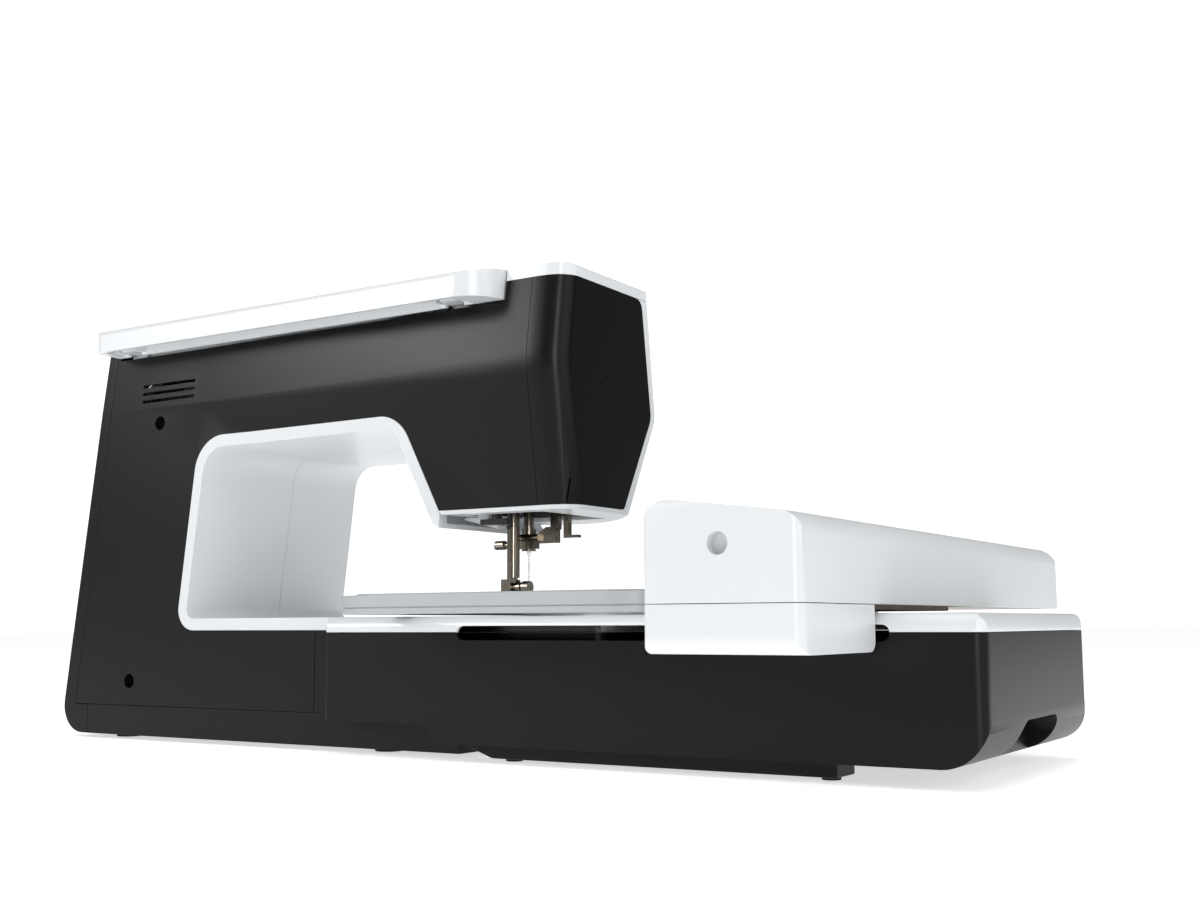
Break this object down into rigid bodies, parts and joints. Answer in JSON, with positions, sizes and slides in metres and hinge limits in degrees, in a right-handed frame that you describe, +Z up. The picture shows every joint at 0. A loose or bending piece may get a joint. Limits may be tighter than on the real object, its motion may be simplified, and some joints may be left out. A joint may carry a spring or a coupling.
{
  "type": "embroidery machine",
  "caption": "Household embroidery machine: pillar, head and free arm, hinged lid, throat, needle and presser bars, and an embroidery module with a travelling arm and hoop.",
  "frame": {"origin": "middle of the footprint, on the surface that the feet stand on", "axes": "+X along the machine towards the handwheel, +Y towards the back, +Z up"},
  "size_m": [0.689, 0.4434, 0.297],
  "materials": {
    "shell_black": "satin",
    "shell_white": "satin",
    "hoop_grey": "satin",
    "control_black": "satin",
    "control_white": "satin",
    "clear_plastic": "clear",
    "display": "polished",
    "steel": "brushed",
    "needle_steel": "polished",
    "cast_aluminium": "as cast",
    "bush_bronze": "machined",
    "motor_paint": "painted",
    "rubber": "matte",
    "board_green": "solder mask"
  },
  "bodies": {
    "machine": {"base_pan": "shell_black", "bobbin_case": "control_black", "bobbin_cover": "clear_plastic", "bushes": "bush_bronze", "chassis": "cast_aluminium", "control_board": "board_green", "cover_screws": "steel", "display_glass": "display", "drive_belts": "rubber", "end_cover": "shell_black", "end_plug": "shell_black", "free_arm_cover": "shell_white", "front_cover": "shell_white", "led_lamp": "control_white", "lid_hinges": "steel", "module_base": "shell_black", "module_skids": "shell_black", "module_top": "shell_white", "motors": "motor_paint", "needle_plate": "steel", "power_inlet": "control_black", "rear_cover": "shell_black", "rubber_feet": "rubber", "side_cover": "shell_black", "spool_pin": "control_white", "throat_liner_front": "shell_white", "throat_liner_rear": "shell_white", "top_cover": "shell_white", "x_rails": "steel"},
    "lid": {"lid": "shell_white"},
    "main_shaft": {"main_shaft": "steel", "handwheel": "shell_white"},
    "connecting_rod": {"connecting_rod": "steel"},
    "motor_rotor": {"motor_rotor": "steel"},
    "lower_shaft": {"lower_shaft": "steel"},
    "hook": {"hook": "steel"},
    "bobbin": {"bobbin": "clear_plastic"},
    "needle_bar": {"needle_bar": "steel", "needle_clamp": "steel", "needle": "needle_steel"},
    "clamp_screw": {"clamp_screw": "steel"},
    "presser_bar": {"presser_bar": "steel", "presser_foot": "steel"},
    "foot_screw": {"foot_screw": "steel"},
    "presser_lever": {"presser_lever": "control_black"},
    "take_up_lever": {"take_up_lever": "steel"},
    "threader": {"threader": "steel"},
    "power_switch": {"power_switch": "control_black"},
    "start_stop_button": {"start_stop_button": "control_black"},
    "thread_cut_button": {"thread_cut_button": "control_black"},
    "speed_slider": {"speed_slider": "control_black"},
    "bobbin_winder": {"bobbin_winder": "control_white"},
    "arm": {"arm_carriage": "steel", "arm_lower_shell": "shell_white", "arm_rail": "steel", "arm_upper_shell": "shell_white"},
    "hoop": {"hoop_carriage": "control_black", "hoop_outer": "hoop_grey", "hoop_inner": "hoop_grey"},
    "hoop_screw": {"hoop_screw": "steel"}
  },
  "joints": [
    {"name": "lid_hinge", "type": "hinge", "parent": "machine", "child": "lid", "pos_m": [0.126, 0.126, 0.28], "axis": [-1, 0, 0], "range_deg": [0, 70]},
    {"name": "main_shaft_turn", "type": "hinge", "parent": "machine", "child": "main_shaft", "pos_m": [0.2, 0.055, 0.238], "axis": [1, 0, 0], "continuous": true},
    {"name": "connecting_rod_turn", "type": "hinge", "parent": "main_shaft", "child": "connecting_rod", "pos_m": [-0.0056, 0.055, 0.2535], "axis": [1, 0, 0], "continuous": true},
    {"name": "motor_turn", "type": "hinge", "parent": "machine", "child": "motor_rotor", "pos_m": [0.285, 0.006, 0.118], "axis": [1, 0, 0], "continuous": true},
    {"name": "lower_shaft_turn", "type": "hinge", "parent": "machine", "child": "lower_shaft", "pos_m": [0.1, 0.05, 0.043], "axis": [1, 0, 0], "continuous": true},
    {"name": "hook_turn", "type": "hinge", "parent": "machine", "child": "hook", "pos_m": [-0.0295, 0.036, 0.06], "axis": [0, 0, 1], "continuous": true},
    {"name": "bobbin_turn", "type": "hinge", "parent": "machine", "child": "bobbin", "pos_m": [-0.0295, 0.036, 0.07], "axis": [0, 0, 1], "continuous": true},
    {"name": "needle_bar_slide", "type": "slide", "parent": "machine", "child": "needle_bar", "axis": [0, 0, 1], "range_m": [-0.031, 0]},
    {"name": "clamp_screw_turn", "type": "hinge", "parent": "needle_bar", "child": "clamp_screw", "pos_m": [-0.0095, 0.055, 0.1298], "axis": [1, 0, 0], "continuous": true},
    {"name": "presser_bar_slide", "type": "slide", "parent": "machine", "child": "presser_bar", "axis": [0, 0, 1], "range_m": [0, 0.006]},
    {"name": "foot_screw_turn", "type": "hinge", "parent": "presser_bar", "child": "foot_screw", "pos_m": [-0.04, 0.072, 0.102], "axis": [1, 0, 0], "continuous": true},
    {"name": "presser_lever_turn", "type": "hinge", "parent": "machine", "child": "presser_lever", "pos_m": [-0.031, 0.092, 0.17], "axis": [1, 0, 0], "range_deg": [0, 10]},
    {"name": "take_up_turn", "type": "hinge", "parent": "machine", "child": "take_up_lever", "pos_m": [-0.0555, 0.044, 0.216], "axis": [1, 0, 0], "range_deg": [-20, 20]},
    {"name": "threader_slide", "type": "slide", "parent": "machine", "child": "threader", "axis": [0, 0, 1], "range_m": [-0.018, 0], "stiffness_N_per_m": 20, "springref_m": 0.01},
    {"name": "power_switch_turn", "type": "hinge", "parent": "machine", "child": "power_switch", "pos_m": [0.327, 0.081, 0.083], "axis": [0, 1, 0], "range_deg": [0, 6]},
    {"name": "start_stop_press", "type": "slide", "parent": "machine", "child": "start_stop_button", "axis": [0, 1, 0], "range_m": [0, 0.001], "stiffness_N_per_m": 400},
    {"name": "thread_cut_press", "type": "slide", "parent": "machine", "child": "thread_cut_button", "axis": [0, 1, 0], "range_m": [0, 0.001], "stiffness_N_per_m": 400},
    {"name": "speed_slide", "type": "slide", "parent": "machine", "child": "speed_slider", "axis": [1, 0, 0], "range_m": [0, 0.03]},
    {"name": "bobbin_winder_turn", "type": "hinge", "parent": "machine", "child": "bobbin_winder", "pos_m": [0.262, 0.02, 0.27], "axis": [0, 0, 1], "continuous": true},
    {"name": "arm_slide", "type": "slide", "parent": "machine", "child": "arm", "axis": [1, 0, 0], "range_m": [-0.006, 0.13]},
    {"name": "hoop_slide", "type": "slide", "parent": "arm", "child": "hoop", "axis": [0, 1, 0], "range_m": [-0.092, 0.138]},
    {"name": "hoop_screw_turn", "type": "hinge", "parent": "hoop", "child": "hoop_screw", "pos_m": [-0.09, -0.129, 0.091], "axis": [1, 0, 0], "continuous": true}
  ],
  "couplings": [
    {"joint": "connecting_rod_turn", "follows": "main_shaft_turn", "ratio": -1},
    {"joint": "motor_turn", "follows": "main_shaft_turn", "ratio": 3.1111},
    {"joint": "lower_shaft_turn", "follows": "main_shaft_turn", "ratio": 1},
    {"joint": "hook_turn", "follows": "main_shaft_turn", "ratio": 2}
  ]
}
